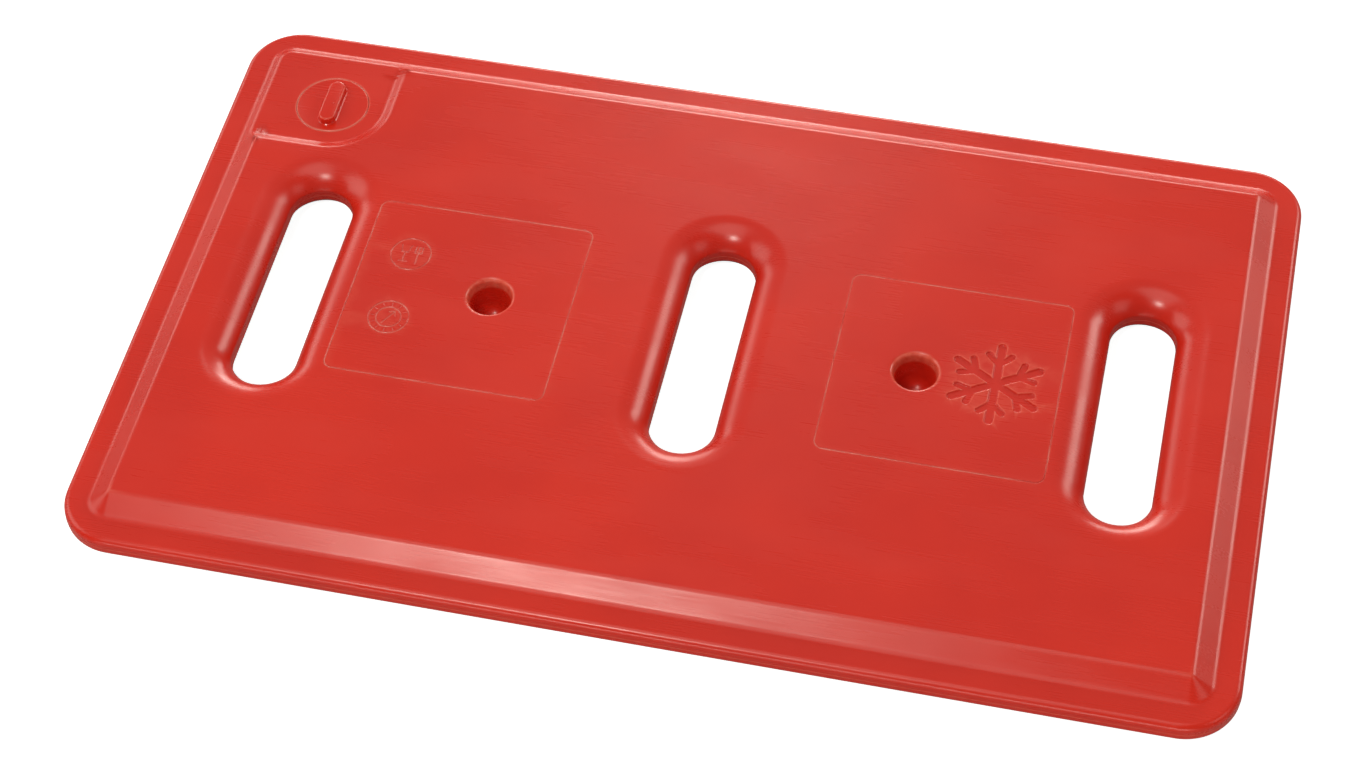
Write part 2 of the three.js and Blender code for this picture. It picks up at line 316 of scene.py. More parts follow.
def top_height(x, y):
    """Height of the top face, with its pad, slots, dimples, marks and the well's lip."""
    step = PAD_FLOOR + PAD_SLOPE * pad_distance(x, y)
    pad = smooth_max(step, np.full_like(x, PAD_FLOOR), PAD_BLEND)
    z = smooth_min(plate_height(x, y), pad, PAD_BLEND)
    z = z + slot_height(x, y) - THICK
    z = z + dimple_height(x, y) - THICK
    z = z - groove_depth(np.minimum(dial_lines(x, y), square_lines(x, y)))
    z = z - FLAKE_DEPTH * np.clip(-flake_distance(x, y) / FLAKE_EDGE, 0, 1)
    lip = np.clip((WELL_R + WELL_LIP_R - plug_distance(x, y)) / WELL_LIP_R, 0, 1)
    return z - WELL_LIP_R * (1 - np.sqrt(1 - lip * lip))


def bottom_height(x, y):
    """Height of the bottom face, as it would be with the plate turned over."""
    return plate_height(x, y) + slot_height(x, y) - THICK


# --- outlines ---------------------------------------------------------------------


def arc_points(cx, cy, radius, start, end, count):
    """Points on an arc, from one angle in degrees up to but not including the other."""
    angles = np.radians(np.linspace(start, end, count, endpoint=False))
    return [(cx + radius * math.cos(a), cy + radius * math.sin(a)) for a in angles]


def line_points(start, end, step):
    """Points on a straight line about a step apart, without its end."""
    count = max(1, round(math.dist(start, end) / step))
    t = np.arange(count)[:, None] / count
    return [tuple(p) for p in np.array(start) + t * (np.array(end) - np.array(start))]


def rounded_box_loop(half_x, half_y, radius, per_corner, step):
    """Points round a rounded rectangle, with straight sides cut in equal steps."""
    x, y = half_x - radius, half_y - radius
    points = []
    corners = [(x, y, 0), (-x, y, 90), (-x, -y, 180), (x, -y, 270)]
    for i, (cx, cy, start) in enumerate(corners):
        points += arc_points(cx, cy, radius, start, start + 90, per_corner)
        nx, ny, turn = corners[(i + 1) % 4]
        a = math.radians(turn)
        dx, dy = radius * math.cos(a), radius * math.sin(a)
        points += line_points((cx + dx, cy + dy), (nx + dx, ny + dy), step)
    return points


def slot_loop(cx, radius):
    """Points round a slot's outline, at that distance from its centre line."""
    end, left, right = SLOT_STRAIGHT, cx - radius, cx + radius
    points = arc_points(cx, end, radius, 0, 180, SLOT_END_STEPS)
    points += line_points((left, end), (left, -end), SLOT_SIDE_STEP)
    points += arc_points(cx, -end, radius, 180, 360, SLOT_END_STEPS)
    points += line_points((right, -end), (right, end), SLOT_SIDE_STEP)
    return points


def circle_loop(cx, cy, radius, count):
    return arc_points(cx, cy, radius, 0, 360, count)


# --- the plate's two faces ----------------------------------------------------------


class FacePlan:
    """Points and loops of one face in plan, and the triangles between them."""

    def __init__(self):
        self.points = []
        self.edges = []

    def add_loop(self, points):
        """Adds a closed loop whose edges the triangles have to follow, and returns its ids."""
        first = len(self.points)
        self.points += points
        ids = list(range(first, first + len(points)))
        self.edges += list(zip(ids, ids[1:] + ids[:1]))
        return ids

    def add_points(self, points):
        self.points += [tuple(p) for p in points]

    def triangles(self, keep):
        """Triangulates the plan and keeps the triangles whose centres pass the test."""
        coords = [Vector(p) for p in self.points]
        out = delaunay_2d_cdt(coords, self.edges, [], 0, 1e-5)
        plan = np.array([tuple(v) for v in out[0]])
        moved = {source: i for i, sources in enumerate(out[3]) for source in sources}
        faces = np.array(out[2])
        centres = plan[faces].mean(axis=1)
        return plan, faces[keep(centres[:, 0], centres[:, 1])], moved


def grid_points(low, high, step, keep):
    """A staggered grid of points where the test holds."""
    xs = np.arange(low[0], high[0], step)
    ys = np.arange(low[1], high[1], step * 0.87)
    gx, gy = np.meshgrid(xs, ys)
    gx = gx + (np.arange(len(ys)) % 2)[:, None] * step / 2
    gx, gy = gx.ravel(), gy.ravel()
    chosen = keep(gx, gy)
    return np.stack([gx[chosen], gy[chosen]], axis=1)


def edge_loop(inset):
    """Points round the plate's outer edge, that far inside its outline."""
    half_x, half_y = LENGTH / 2 - inset, WIDTH / 2 - inset
    return rounded_box_loop(half_x, half_y, RIM_CORNER_R - inset, RIM_CORNER_STEPS, PLAN_STEP)


def add_face_loops(plan):
    """Loops that both faces share: rim, facets and slots. Returns the outer and slot loops."""

    def ring(inset, corner_r, per_corner):
        half_x, half_y = FOOT_X - inset, FOOT_Y - inset
        return plan.add_loop(rounded_box_loop(half_x, half_y, corner_r, per_corner, PLAN_STEP))

    edge = plan.add_loop(edge_loop(RIM_EDGE_R))
    for inset in (-2.2, -1.5, -0.9, -0.3, 0.3, 0.9, 1.5, 2.2):
        ring(inset, FOOT_CORNER_R - inset, 14)
    for inset in (FACET_W / 2, FACET_W - 2.1, FACET_W - 1.4, FACET_W - 0.8, FACET_W - 0.3):
        ring(inset, FOOT_CORNER_R - inset, 10)
    for inset in (0.2, 0.7, 1.3, 2.1, 3.2):
        ring(FACET_W + inset, 0.01, 1)
    throats = []
    for side in (-1, 0, 1):
        for i in range(SLOT_RINGS + 1):
            angle = i / SLOT_RINGS * math.asin(FLARE_W / FLARE_R)
            radius = SLOT_R + FLARE_W - FLARE_R * math.sin(angle)
            loop = plan.add_loop(slot_loop(side * SLOT_PITCH, radius))
        throats.append(loop)
    return edge, throats


def add_top_loops(plan):
    """Loops and grids of the top face only. Returns the loop of the plug's well."""
    for cx, cy in DIMPLES:
        radii = [12.5, 12.2, 11.7, 11.1, 10.6, 10.35, 10.1, 9.6, 9.1, 8.7]
        radii += [8.55, 8.3, 7.9, 7.3, 6.6, 5.8, 4.8, 3.6, 2.2]
        for radius in radii:
            plan.add_loop(circle_loop(cx, cy, radius, DIMPLE_STEPS))
    for cx, cy in SQUARES:
        for offset in (-0.5, -0.32, -0.12, 0.12, 0.32, 0.5):
            half = SQUARE_HALF + offset
            loop = rounded_box_loop(half, half, SQUARE_CORNER_R + offset, 8, 6.0)
            plan.add_loop([(x + cx, y + cy) for x, y in loop])
    for offset in (1.2, 0.5, 0.3, 0.12, 0.03):
        plan.add_loop(circle_loop(PLUG_X, PLUG_Y, WELL_R + offset, PLUG_STEPS))
    return plan.add_loop(circle_loop(PLUG_X, PLUG_Y, WELL_R, PLUG_STEPS))


def in_plate(x, y, margin):
    """True at least that far inside the face's outer loop."""
    half_x, half_y = LENGTH / 2 - RIM_EDGE_R, WIDTH / 2 - RIM_EDGE_R
    return rounded_box_distance(x, y, half_x, half_y, RIM_CORNER_R) < -margin


def free_of_holes(x, y, margin):
    """True at least that far outside the plug's well and the slots' flares."""
    well = plug_distance(x, y) > WELL_R + margin
    return well & (slot_distance(x, y) > SLOT_R + FLARE_W + margin)


def top_grids():
    """Extra points where the top face has detail finer than its loops."""
    step_low = (-LENGTH / 2, PAD_FRONT - 8)
    step_high = (PAD_RIGHT + 8, WIDTH / 2)

    def near_step(x, y):
        away = pad_distance(x, y)
        near = (away > -2) & (away < 7)
        return near & in_plate(x, y, 1) & free_of_holes(x, y, 1.4)

    def near_flake(x, y):
        return np.abs(flake_distance(x, y) + FLAKE_EDGE / 2) < 0.9

    def near_dials(x, y):
        return dial_lines(x, y) < 0.8

    def on_pad_facets(x, y):
        inset = -rounded_box_distance(x, y, FOOT_X, FOOT_Y, FOOT_CORNER_R)
        return (pad_distance(x, y) < 2) & (inset > 3) & (inset < 8)

    flake_low, flake_high = (FLAKE_X - 27, -27), (FLAKE_X + 27, 27)
    dials_low, dials_high = (DIAL_X - 11, DATE_DIAL_Y - 11), (DIAL_X + 11, FOOD_DIAL_Y + 11)
    return [
        grid_points(step_low, step_high, 0.9, near_step),
        grid_points(step_low, step_high, 0.9, on_pad_facets),
        grid_points(flake_low, flake_high, 0.42, near_flake),
        grid_points(dials_low, dials_high, 0.3, near_dials),
    ]


def is_plain(x, y):
    """True where the face is flat and clear of every feature."""
    lines = np.minimum(square_lines(x, y), dial_lines(x, y))
    clear = (lines > 2.5) & (dimple_distance(x, y) > 15) & (flake_distance(x, y) > 2)
    clear = clear & free_of_holes(x, y, 3)
    inside = rounded_box_distance(x, y, FOOT_X, FOOT_Y, 1) < -(FACET_W + 4)
    return clear & inside & (np.abs(pad_distance(x, y) - 2.5) > 5)


def face_normals(x, y, height):
    """Unit normals of a height function, by central differences."""
    eps = 0.01
    dx = (height(x + eps, y) - height(x - eps, y)) / (2 * eps)
    dy = (height(x, y + eps) - height(x, y - eps)) / (2 * eps)
    normals = np.stack([-dx, -dy, np.ones_like(dx)], axis=1)
    return normals / np.linalg.norm(normals, axis=1)[:, None]


def face_wear(x, y, height):
    """How much a point stands proud of its surroundings (+) or lies in them (-), in mm; proud
    edges are paled, partly as rubbed wear and partly as a painted highlight.
    """
    reach = 0.9
    ring = [
        height(x + reach * math.cos(a), y + reach * math.sin(a))
        for a in np.linspace(0, TAU, 12, endpoint=False)
    ]
    return height(x, y) - np.mean(ring, axis=0)


def throat_normals(plan, ids, side):
    """A slot's throat is upright, so its normals lie flat, towards the slot's centre line."""
    points = plan[ids]
    centre_y = np.clip(points[:, 1], -SLOT_STRAIGHT, SLOT_STRAIGHT)
    away = points - np.stack([np.full(len(ids), side * SLOT_PITCH), centre_y], axis=1)
    flat = -away / np.linalg.norm(away, axis=1)[:, None]
    return np.hstack([flat, np.zeros((len(ids), 1))])


def toward_plug(points):
    """Unit directions in plan from points towards the plug's axis."""
    toward = np.array([PLUG_X, PLUG_Y]) - points
    return toward / np.linalg.norm(toward, axis=1)[:, None]


class MeshParts:
    """Vertices, normals, wear with painted edge highlight, painted line highlight and faces of one
    mesh as they are gathered, in mm.
    """

    def __init__(self):
        self.points = np.zeros((0, 3))
        self.normals = np.zeros((0, 3))
        self.wear = np.zeros(0)
        self.frost = np.zeros(0)
        self.faces = []

    def add(self, points, normals, wear, faces=(), frost=None):
        """Adds vertices with the faces between them, and returns the vertices' ids."""
        first = len(self.points)
        frost = np.zeros(len(points)) if frost is None else frost
        self.points = np.vstack([self.points, points])
        self.normals = np.vstack([self.normals, normals])
        self.wear = np.concatenate([self.wear, wear])
        self.frost = np.concatenate([self.frost, frost])
        self.faces += [tuple(int(i) + first for i in face) for face in faces]
        return np.arange(first, first + len(points))

    def bridge(self, lower, upper):
        """Quads between two loops that run anticlockwise, seen from above."""
        count = len(lower)
        for i in range(count):
            j = (i + 1) % count
            self.faces.append((int(lower[i]), int(lower[j]), int(upper[j]), int(upper[i])))


def build_face(parts, height, is_top):
    """Adds one face of the plate and returns its outer, slot and well loops."""
    plan = FacePlan()
    edge, throats = add_face_loops(plan)
    well = add_top_loops(plan) if is_top else []
    if is_top:
        for points in top_grids():
            plan.add_points(points)
    low, high = (-LENGTH / 2, -WIDTH / 2), (LENGTH / 2, WIDTH / 2)
    plan.add_points(grid_points(low, high, PLAN_STEP, is_plain))

    def solid(x, y):
        outside_slots = slot_distance(x, y) > SLOT_R
        if not is_top:
            return outside_slots
        return outside_slots & (plug_distance(x, y) > WELL_R - 0.1)

    points, faces, moved = plan.triangles(solid)
    x, y = points[:, 0], points[:, 1]
    normals = face_normals(x, y, height)
    loops = {"edge": [moved[i] for i in edge], "well": [moved[i] for i in well]}
    loops["throats"] = [[moved[i] for i in loop] for loop in throats]
    for side, ids in zip((-1, 0, 1), loops["throats"]):
        normals[ids] = throat_normals(points, ids, side)
    # Proud edges are paled, partly as rubbed wear and partly as a painted highlight.
    wear = face_wear(x, y, height)
    # Scored lines and the well's rim get a painted highlight.
    frost = frosting(x, y) if is_top else None
    z = height(x, y)
    for ids in loops["throats"]:
        z[ids] = THICK - FLARE_H
        wear[ids] = 0
    if is_top:
        ids = loops["well"]
        normals[ids] = np.hstack([toward_plug(points[ids]), np.zeros((len(ids), 1))])
        z[ids] = PAD_FLOOR - WELL_LIP_R
    if not is_top:
        z = THICK - z
        normals[:, 2] *= -1
        faces = faces[:, ::-1]
    ids = parts.add(np.stack([x, y, z], axis=1), normals, wear, faces, frost)
    return {
        "edge": ids[loops["edge"]],
        "well": ids[loops["well"]] if well else [],
        "throats": [ids[loop] for loop in loops["throats"]],
    }


def add_rim_edge(parts, top, bottom):
    """The rounded outer edge, with a fine moulding seam at half height."""
    profile = []
    for i in range(1, EDGE_STEPS + 1):
        angle = i / EDGE_STEPS * math.pi / 2
        inset = RIM_EDGE_R * (1 - math.sin(angle))
        drop = RIM_EDGE_R * (1 - math.cos(angle))
        profile.append((inset, RIM_TOP - drop, math.sin(angle), math.cos(angle)))
    middle = THICK / 2
    profile.append((0, middle + SEAM_H, 1, 0))
    profile.append((-SEAM_W, middle + 0.4 * SEAM_H, 0.94, 0.34))
    profile += [(inset, THICK - z, out, -up) for inset, z, out, up in reversed(profile)]
    above = top
    base = np.array(edge_loop(10))
    for inset, z, out, up in profile:
        loop = np.array(edge_loop(inset))
        away = loop - base
        away /= np.linalg.norm(away, axis=1)[:, None]
        points = np.hstack([loop, np.full((len(loop), 1), z)])
        normals = np.hstack([away * out, np.full((len(loop), 1), up)])
        # The seam's ridge is paled, as rubbed wear and a painted highlight.
        wear = np.full(len(loop), 0.25 if inset < 0 else 0.05)
        below = parts.add(points, normals, wear)
        parts.bridge(below, above)
        above = below
    parts.bridge(bottom, above)


def add_slot_lands(parts, top, bottom):
    """The upright land of each slot, with the seam along its middle."""
    middle = THICK / 2
    for side, above, low in zip((-1, 0, 1), top, bottom):
        for z, proud, up in [
            (middle + SEAM_H, 0, 0),
            (middle + 0.4 * SEAM_H, SEAM_W, 0.34),
            (middle - 0.4 * SEAM_H, SEAM_W, -0.34),
            (middle - SEAM_H, 0, 0),
        ]:
            loop = np.array(slot_loop(side * SLOT_PITCH, SLOT_R - proud))
            normals = throat_normals(loop, list(range(len(loop))), side)
            normals[:, 2] = up
            points = np.hstack([loop, np.full((len(loop), 1), z)])
            # The seam's ridge is paled, as rubbed wear and a painted highlight.
            below = parts.add(points, normals, np.full(len(loop), 0.25 if proud else 0.0))
            parts.bridge(above, below)
            above = below
        parts.bridge(above, low)


def add_well(parts, lip):
    """The plug's well: its upright wall, the seat, and the hole for the neck."""
    above = lip
    for radius, z, inward, up in [
        (WELL_R, SEAT_Z + 0.4, 1, 0),
        (WELL_R - 0.4, SEAT_Z, 0.5, 0.8),
        (WELL_R - 0.6, SEAT_Z, 0, 1),
        (NECK_HOLE_R + 0.3, SEAT_Z, 0, 1),
        (NECK_HOLE_R, SEAT_Z - 0.3, 1, 0.3),
        (NECK_HOLE_R, NECK_HOLE_BOTTOM, 1, 0),
    ]:
        loop = np.array(circle_loop(PLUG_X, PLUG_Y, radius, PLUG_STEPS))
        normals = np.hstack([toward_plug(loop) * inward, np.full((len(loop), 1), up)])
        points = np.hstack([loop, np.full((len(loop), 1), z)])
        below = parts.add(points, normals, np.zeros(len(loop)))
        parts.bridge(above, below)
        above = below


def mesh_object(name, points, faces, normals=None, **levels):
    """A smooth-shaded object from points in mm, with its levels stored for the material."""
    mesh = bpy.data.meshes.new(name)
    mesh.from_pydata([tuple(p) for p in np.asarray(points) * MM], [], [tuple(f) for f in faces])
    mesh.validate()
    mesh.polygons.foreach_set("use_smooth", [True] * len(mesh.polygons))
    for level, values in levels.items():
        attribute = mesh.attributes.new(level, "FLOAT", "POINT")
        attribute.data.foreach_set("value", values)
    obj = bpy.data.objects.new(name, mesh)
    bpy.context.scene.collection.objects.link(obj)
    if normals is not None:
        unit = normals / np.linalg.norm(normals, axis=1)[:, None]
        mesh.normals_split_custom_set_from_vertices([tuple(n) for n in unit])
    return obj


def build_shell():
    """The plate's outer surface as one mesh, open only at the hole for the neck."""
    parts = MeshParts()
    top = build_face(parts, top_height, True)
    bottom = build_face(parts, bottom_height, False)
    add_rim_edge(parts, top["edge"], bottom["edge"])
    add_slot_lands(parts, top["throats"], bottom["throats"])
    add_well(parts, top["well"])
    # Levels for the material: paled proud edges (rubbed wear and painted highlight) and painted
    # highlight lines.
    levels = {"wear": parts.wear, "frost": parts.frost}
    return mesh_object("plate_shell", parts.points, parts.faces, parts.normals, **levels)


# --- neck, seal and plug, about the plug's axis ---------------------------------------

PITCH = 4
NECK_R = 14.7
NECK_FLANGE_R = 17.5
NECK_BOTTOM = 5.5
NECK_BORE_R = 13.2
STUD_R = 11.5
STUD_BORE_R = 8.5
STUD_BOTTOM = PLUG_LOW.z
THREAD_WIRE_R = 1.1
THREAD_START = NECK_BOTTOM + 1.6
THREAD_STEPS = 72
THREAD_SIDES = 12
HEAD_R = WELL_R - 0.14
HEAD_BOTTOM = PAD_FLOOR - 2.5
SEAL_BOSS_R = 15
SEAL_WIRE_R = 0.8
GRIP_HALF_W = 4.4
GRIP_HALF_LENGTH = 13.5
GRIP_TOP = PLUG_HIGH.z


def revolve(profile, segments=PLUG_STEPS):
    """Points and faces of a closed or axis-to-axis profile turned round the plug's axis."""
    angles = np.linspace(0, TAU, segments, endpoint=False)
    points, faces, rings = [], [], []
    for radius, z in profile:
        first = len(points)
        if radius < 1e-6:
            points.append((0, 0, z))
            rings.append([first] * segments)
            continue
        points += [(radius * math.cos(a), radius * math.sin(a), z) for a in angles]
        rings.append(list(range(first, first + segments)))
    for low, high in zip(rings, rings[1:]):
        for i in range(segments):
            j = (i + 1) % segments
            quad = list(dict.fromkeys([low[i], low[j], high[j], high[i]]))
            if len(quad) > 2:
                faces.append(tuple(quad))
    return points, faces


def helix_ridge(radius, start, turns):
    """A round ridge along a right-handed helix, tapered to nothing at both ends."""
    count, sides = round(turns * THREAD_STEPS), THREAD_SIDES
    points, faces = [], []
    for i in range(count + 1):
        t = i / count
        angle = t * turns * TAU
        fade = min(1, 12 * t, 12 * (1 - t))
        wire = THREAD_WIRE_R * (0.35 + 0.65 * fade)
        z = start + t * turns * PITCH
        for k in range(sides):
            a = k / sides * TAU
            r = radius + wire * math.cos(a)
            points.append((r * math.cos(angle), r * math.sin(angle), z + wire * math.sin(a)))
    for i in range(count):
        for k in range(sides):
            j = (k + 1) % sides
            a, b = i * sides, (i + 1) * sides
            faces.append((a + k, a + j, b + j, b + k))
    faces.append(tuple(range(sides))[::-1])
    faces.append(tuple(range(count * sides, (count + 1) * sides)))
    return points, faces


def fillet(cx, cz, radius, start, end, steps=5):
    """Profile points on an arc about (cx, cz), from one angle in degrees to another."""
    angles = np.radians(np.linspace(start, end, steps + 1))
    return [(cx + radius * math.cos(a), cz + radius * math.sin(a)) for a in angles]


def grip_bar():
    """The raised bar that a hand or a tool turns the plug by, with drafted, rounded sides."""
    rise = GRIP_TOP - PAD_FLOOR
    profile = [(0.9, -0.4), (0.35, 0.02), (0.1, 0.25), (0, 0.7)]
    profile += [(-0.35, rise - 0.9), (-0.5, rise - 0.45), (-0.85, rise - 0.12), (-1.4, rise)]
    points, faces, rings = [], [], []
    for grow, up in profile:
        first = len(points)
        radius = GRIP_HALF_W + grow
        straight = GRIP_HALF_LENGTH - GRIP_HALF_W
        loop = arc_points(0, straight, radius, 0, 180, 20)
        loop += line_points((-radius, straight), (-radius, -straight), 3.0)
        loop += arc_points(0, -straight, radius, 180, 360, 20)
        loop += line_points((radius, -straight), (radius, straight), 3.0)
        points += [(x, y, PAD_FLOOR + up) for x, y in loop]
        rings.append(list(range(first, first + len(loop))))
    for low, high in zip(rings, rings[1:]):
        for i in range(len(low)):
            j = (i + 1) % len(low)
            faces.append((low[i], low[j], high[j], high[i]))
    faces.append(tuple(rings[-1]))
    return points, faces


def gate_mark():
    """The small nub left on the bar where the plastic was let into the mould."""
    x, y, radius = 1.4, -2.2, 0.55
    points, faces = revolve(fillet(0, 0, radius, 0, 90, 4), 16)
    return [(px + x, py + y, pz * 0.5 + GRIP_TOP) for px, py, pz in points], faces


def edge_wear(points):
    """Rubbed wear and a painted highlight on the rounded edges of the plug's head and bar, for
    points about its axis.
    """
    x, y, z = np.array(points).T
    rim = np.hypot(np.hypot(x, y) - HEAD_R + 0.25, z - PAD_FLOOR + 0.25)
    spine = np.hypot(x, np.maximum(np.abs(y) - GRIP_HALF_LENGTH + GRIP_HALF_W, 0))
    bar = np.hypot(spine - GRIP_HALF_W + 0.6, z - GRIP_TOP + 0.3)
    return 0.3 * np.clip(1 - np.minimum(rim, bar) / 0.7, 0, 1)


def edge_frost(points):
    """The painted highlight line round the plug's head."""
    x, y, z = np.array(points).T
    top = np.clip((z - PAD_FLOOR + 0.7) / 0.2, 0, 1)
    return top * np.clip(1 - np.abs(np.hypot(x, y) - HEAD_R + 0.1) / 0.45, 0, 1)


def turned_object(name, *pieces, sharp=32):
    """One object on the plug's axis from several sets of points and faces."""
    points, faces = [], []
    for more_points, more_faces in pieces:
        first = len(points)
        points += list(more_points)
        faces += [tuple(i + first for i in face) for face in more_faces]
    placed = [(x + PLUG_X, y + PLUG_Y, z) for x, y, z in points]
    # Paled edges (rubbed wear and painted highlight) and a painted highlight line round the head.
    obj = mesh_object(name, placed, faces, wear=edge_wear(points), frost=edge_frost(points))
    obj.data.set_sharp_from_angle(angle=math.radians(sharp))
    return obj


def build_plug():
    """Head, boss, hollow stud and thread, with the bar and the gate mark on the head."""
    lip = 0.5
    dish = PAD_FLOOR - 0.12
    profile = [(0, HEAD_BOTTOM), (STUD_BORE_R, HEAD_BOTTOM), (STUD_BORE_R, STUD_BOTTOM)]
    profile += [(STUD_R - 0.6, STUD_BOTTOM), (STUD_R, STUD_BOTTOM + 0.6)]
    profile += [(STUD_R, SEAT_Z + 0.4), (SEAL_BOSS_R, SEAT_Z + 0.4), (SEAL_BOSS_R, HEAD_BOTTOM)]
    profile += fillet(HEAD_R - 0.3, HEAD_BOTTOM + 0.3, 0.3, -90, 0, 3)
    profile += fillet(HEAD_R - lip, PAD_FLOOR - lip, lip, 0, 90, 5)
    profile += [(HEAD_R - 1.0, PAD_FLOOR), (HEAD_R - 1.6, dish), (9, dish), (0, dish)]
    ridge = helix_ridge(STUD_R + 0.1, THREAD_START + PITCH / 2, 1.75)
    return turned_object("screw_plug", revolve(profile), ridge, grip_bar(), gate_mark())


def build_neck():
    """The threaded bush, with the flange that holds it under the well's floor."""
    flange_top = NECK_HOLE_BOTTOM - 0.3
    profile = [(NECK_BORE_R, NECK_BOTTOM), (NECK_R, NECK_BOTTOM), (NECK_R, flange_top - 2)]
    profile += [(NECK_FLANGE_R, flange_top - 2), (NECK_FLANGE_R, flange_top), (NECK_R, flange_top)]
    profile += [(NECK_R, SEAT_Z), (NECK_BORE_R + 0.5, SEAT_Z), (NECK_BORE_R, SEAT_Z - 0.5)]
    profile += [(NECK_BORE_R, NECK_BOTTOM)]
    ridge = helix_ridge(NECK_BORE_R, THREAD_START, 2)
    return turned_object("threaded_neck", revolve(profile), ridge)


def build_seal():
    """The O-ring, round the middle of its CAD node."""
    low, high = [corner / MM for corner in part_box("plug_seal")]
    radius = (high.x - low.x) / 2 - SEAL_WIRE_R
    profile = fillet(radius, (low.z + high.z) / 2, SEAL_WIRE_R, 0, 360, 16)
    return turned_object("o_ring", revolve(profile), sharp=180)


# --- materials ------------------------------------------------------------------------


class Nodes:
    """Short calls for building a material's node tree."""

    def __init__(self, name):
        self.material = bpy.data.materials.new(name)
        self.material.use_nodes = True
        self.tree = self.material.node_tree
        self.shader = self.tree.nodes["Principled BSDF"]

    def connect(self, socket, value):
        """Links a socket to another node's output, or sets its constant value."""
        if isinstance(value, bpy.types.NodeSocket):
            self.tree.links.new(value, socket)
        else:
            socket.default_value = value

    def node(self, kind, inputs, **settings):
        made = self.tree.nodes.new(kind)
        for key, value in settings.items():
            setattr(made, key, value)
        for key, value in inputs.items():
            self.connect(made.inputs[key], value)
        return made

    def set(self, **values):
        """Sets the shader's sockets, named with _ for each space."""
        for key, value in values.items():
            self.connect(self.shader.inputs[key.replace("_", " ")], value)

    def coordinates(self, scale):
        coords = self.node("ShaderNodeTexCoord", {}).outputs["Object"]
        return self.node("ShaderNodeMapping", {"Vector": coords, "Scale": scale}).outputs["Vector"]

    def noise(self, scale, size, detail):
        """Noise whose features are about `size` mm across, with its coordinates scaled first."""
        inputs = {"Vector": self.coordinates(scale), "Scale": 1 / (size * MM), "Detail": detail}
        return self.node("ShaderNodeTexNoise", inputs).outputs["Fac"]

    def remap(self, value, low, high, to_low, to_high):
        inputs = {"Value": value, "From Min": low, "From Max": high}
        inputs |= {"To Min": to_low, "To Max": to_high}
        return self.node("ShaderNodeMapRange", inputs).outputs["Result"]

    def mix(self, factor, a, b):
        """Mixes two colours; sockets 0, 6 and 7 are the factor and the colours A and B."""
        inputs = {0: factor, 6: a, 7: b}
        return self.node("ShaderNodeMix", inputs, data_type="RGBA").outputs[2]

    def multiply(self, a, b):
        return self.node("ShaderNodeMath", {0: a, 1: b}, operation="MULTIPLY").outputs[0]

    def level(self, name):
        """A level that the mesh carries, such as its wear and painted edge highlight."""
        return self.node("ShaderNodeAttribute", {}, attribute_name=name).outputs["Fac"]

    def bump(self, height, distance, strength, normal=None):
        inputs = {"Height": height, "Distance": distance * MM, "Strength": strength}
        if normal is not None:
            inputs["Normal"] = normal
        return self.node("ShaderNodeBump", inputs).outputs["Normal"]


RED = (0.64, 0.021, 0.008, 1)
RED_DEEP = (0.59, 0.017, 0.007, 1)
# Paler red for rubbed edges, which also paints a highlight on them.
RED_WORN_AND_SHEEN = (0.80, 0.17, 0.11, 1)
# Pale red of the painted highlight on scored lines and rims.
RED_HIGHLIGHT = (0.80, 0.30, 0.24, 1)


def polyethylene(name, roughness):
    """Blow-moulded polyethylene: waxy, faintly streaked, paler where rubbed, with painted
    highlights on proud edges, scored lines and rims.
    """
    n = Nodes(name)
    clouds = n.noise((1, 1, 1), 60, 2)
    colour = n.mix(n.remap(clouds, 0.35, 0.65, 0, 1), RED, RED_DEEP)
    speckle = n.noise((1, 1, 1), 2.5, 4)
    # Proud edges paled in speckles: rubbed wear and a painted highlight.
    rubbed_and_lit = n.multiply(n.remap(n.level("wear"), 0.05, 0.3, 0, 1), speckle)
    colour = n.mix(rubbed_and_lit, colour, RED_WORN_AND_SHEEN)
    # Painted highlight along the scored lines and rims, in patches.
    patches = n.noise((1, 1, 1), 14, 2)
    highlighted = n.multiply(n.level("frost"), n.remap(patches, 0.35, 0.65, 0.2, 0.75))
    n.set(Base_Color=n.mix(highlighted, colour, RED_HIGHLIGHT))
    streaks = n.noise((0.04, 1, 1), 0.9, 3)
    drawn = n.multiply(streaks, n.remap(n.noise((0.4, 1, 1), 28, 2), 0.4, 0.65, 0.25, 1))
    n.set(Roughness=n.remap(drawn, 0.1, 0.6, roughness - 0.03, roughness + 0.06))
    fine = n.bump(drawn, 0.04, 0.4)
    n.set(Normal=n.bump(n.noise((1, 1.6, 1), 35, 1), 0.3, 0.35, fine))
    n.set(IOR=1.5)
    return n.material


def rubber():
    """Matt black nitrile rubber with a fine grain."""
    n = Nodes("black_nitrile")
    n.set(Base_Color=(0.012, 0.012, 0.013, 1))
    grain = n.noise((1, 1, 1), 0.5, 3)
    n.set(Roughness=n.remap(grain, 0.3, 0.7, 0.5, 0.65), Normal=n.bump(grain, 0.02, 0.4))
    return n.material


def gel():
    """Translucent pale blue gel, faintly cloudy."""
    n = Nodes("eutectic_gel")
    clouds = n.noise((1, 1, 1), 25, 3)
    n.set(Base_Color=n.mix(clouds, (0.35, 0.6, 0.75, 1), (0.55, 0.75, 0.85, 1)))
    n.set(Roughness=0.25, Transmission_Weight=0.5, IOR=1.36)
    return n.material


def paint(obj, material):
    obj.data.materials.clear()
    obj.data.materials.append(material)


# --- stage ------------------------------------------------------------------------------

CAMERA_AIM = (-0.0050, -0.0224, THICK / 2 * MM)
CAMERA_AZIMUTH = 13.9
CAMERA_ELEVATION = 51.76
CAMERA_ROLL = -1.89
CAMERA_DISTANCE = 1.3909
CAMERA_LENS = 79.17
FLOOR_HALF = 6.0
WORLD_GLOW = 0.14
LIGHT_COLOUR = (1.0, 0.95, 0.86)


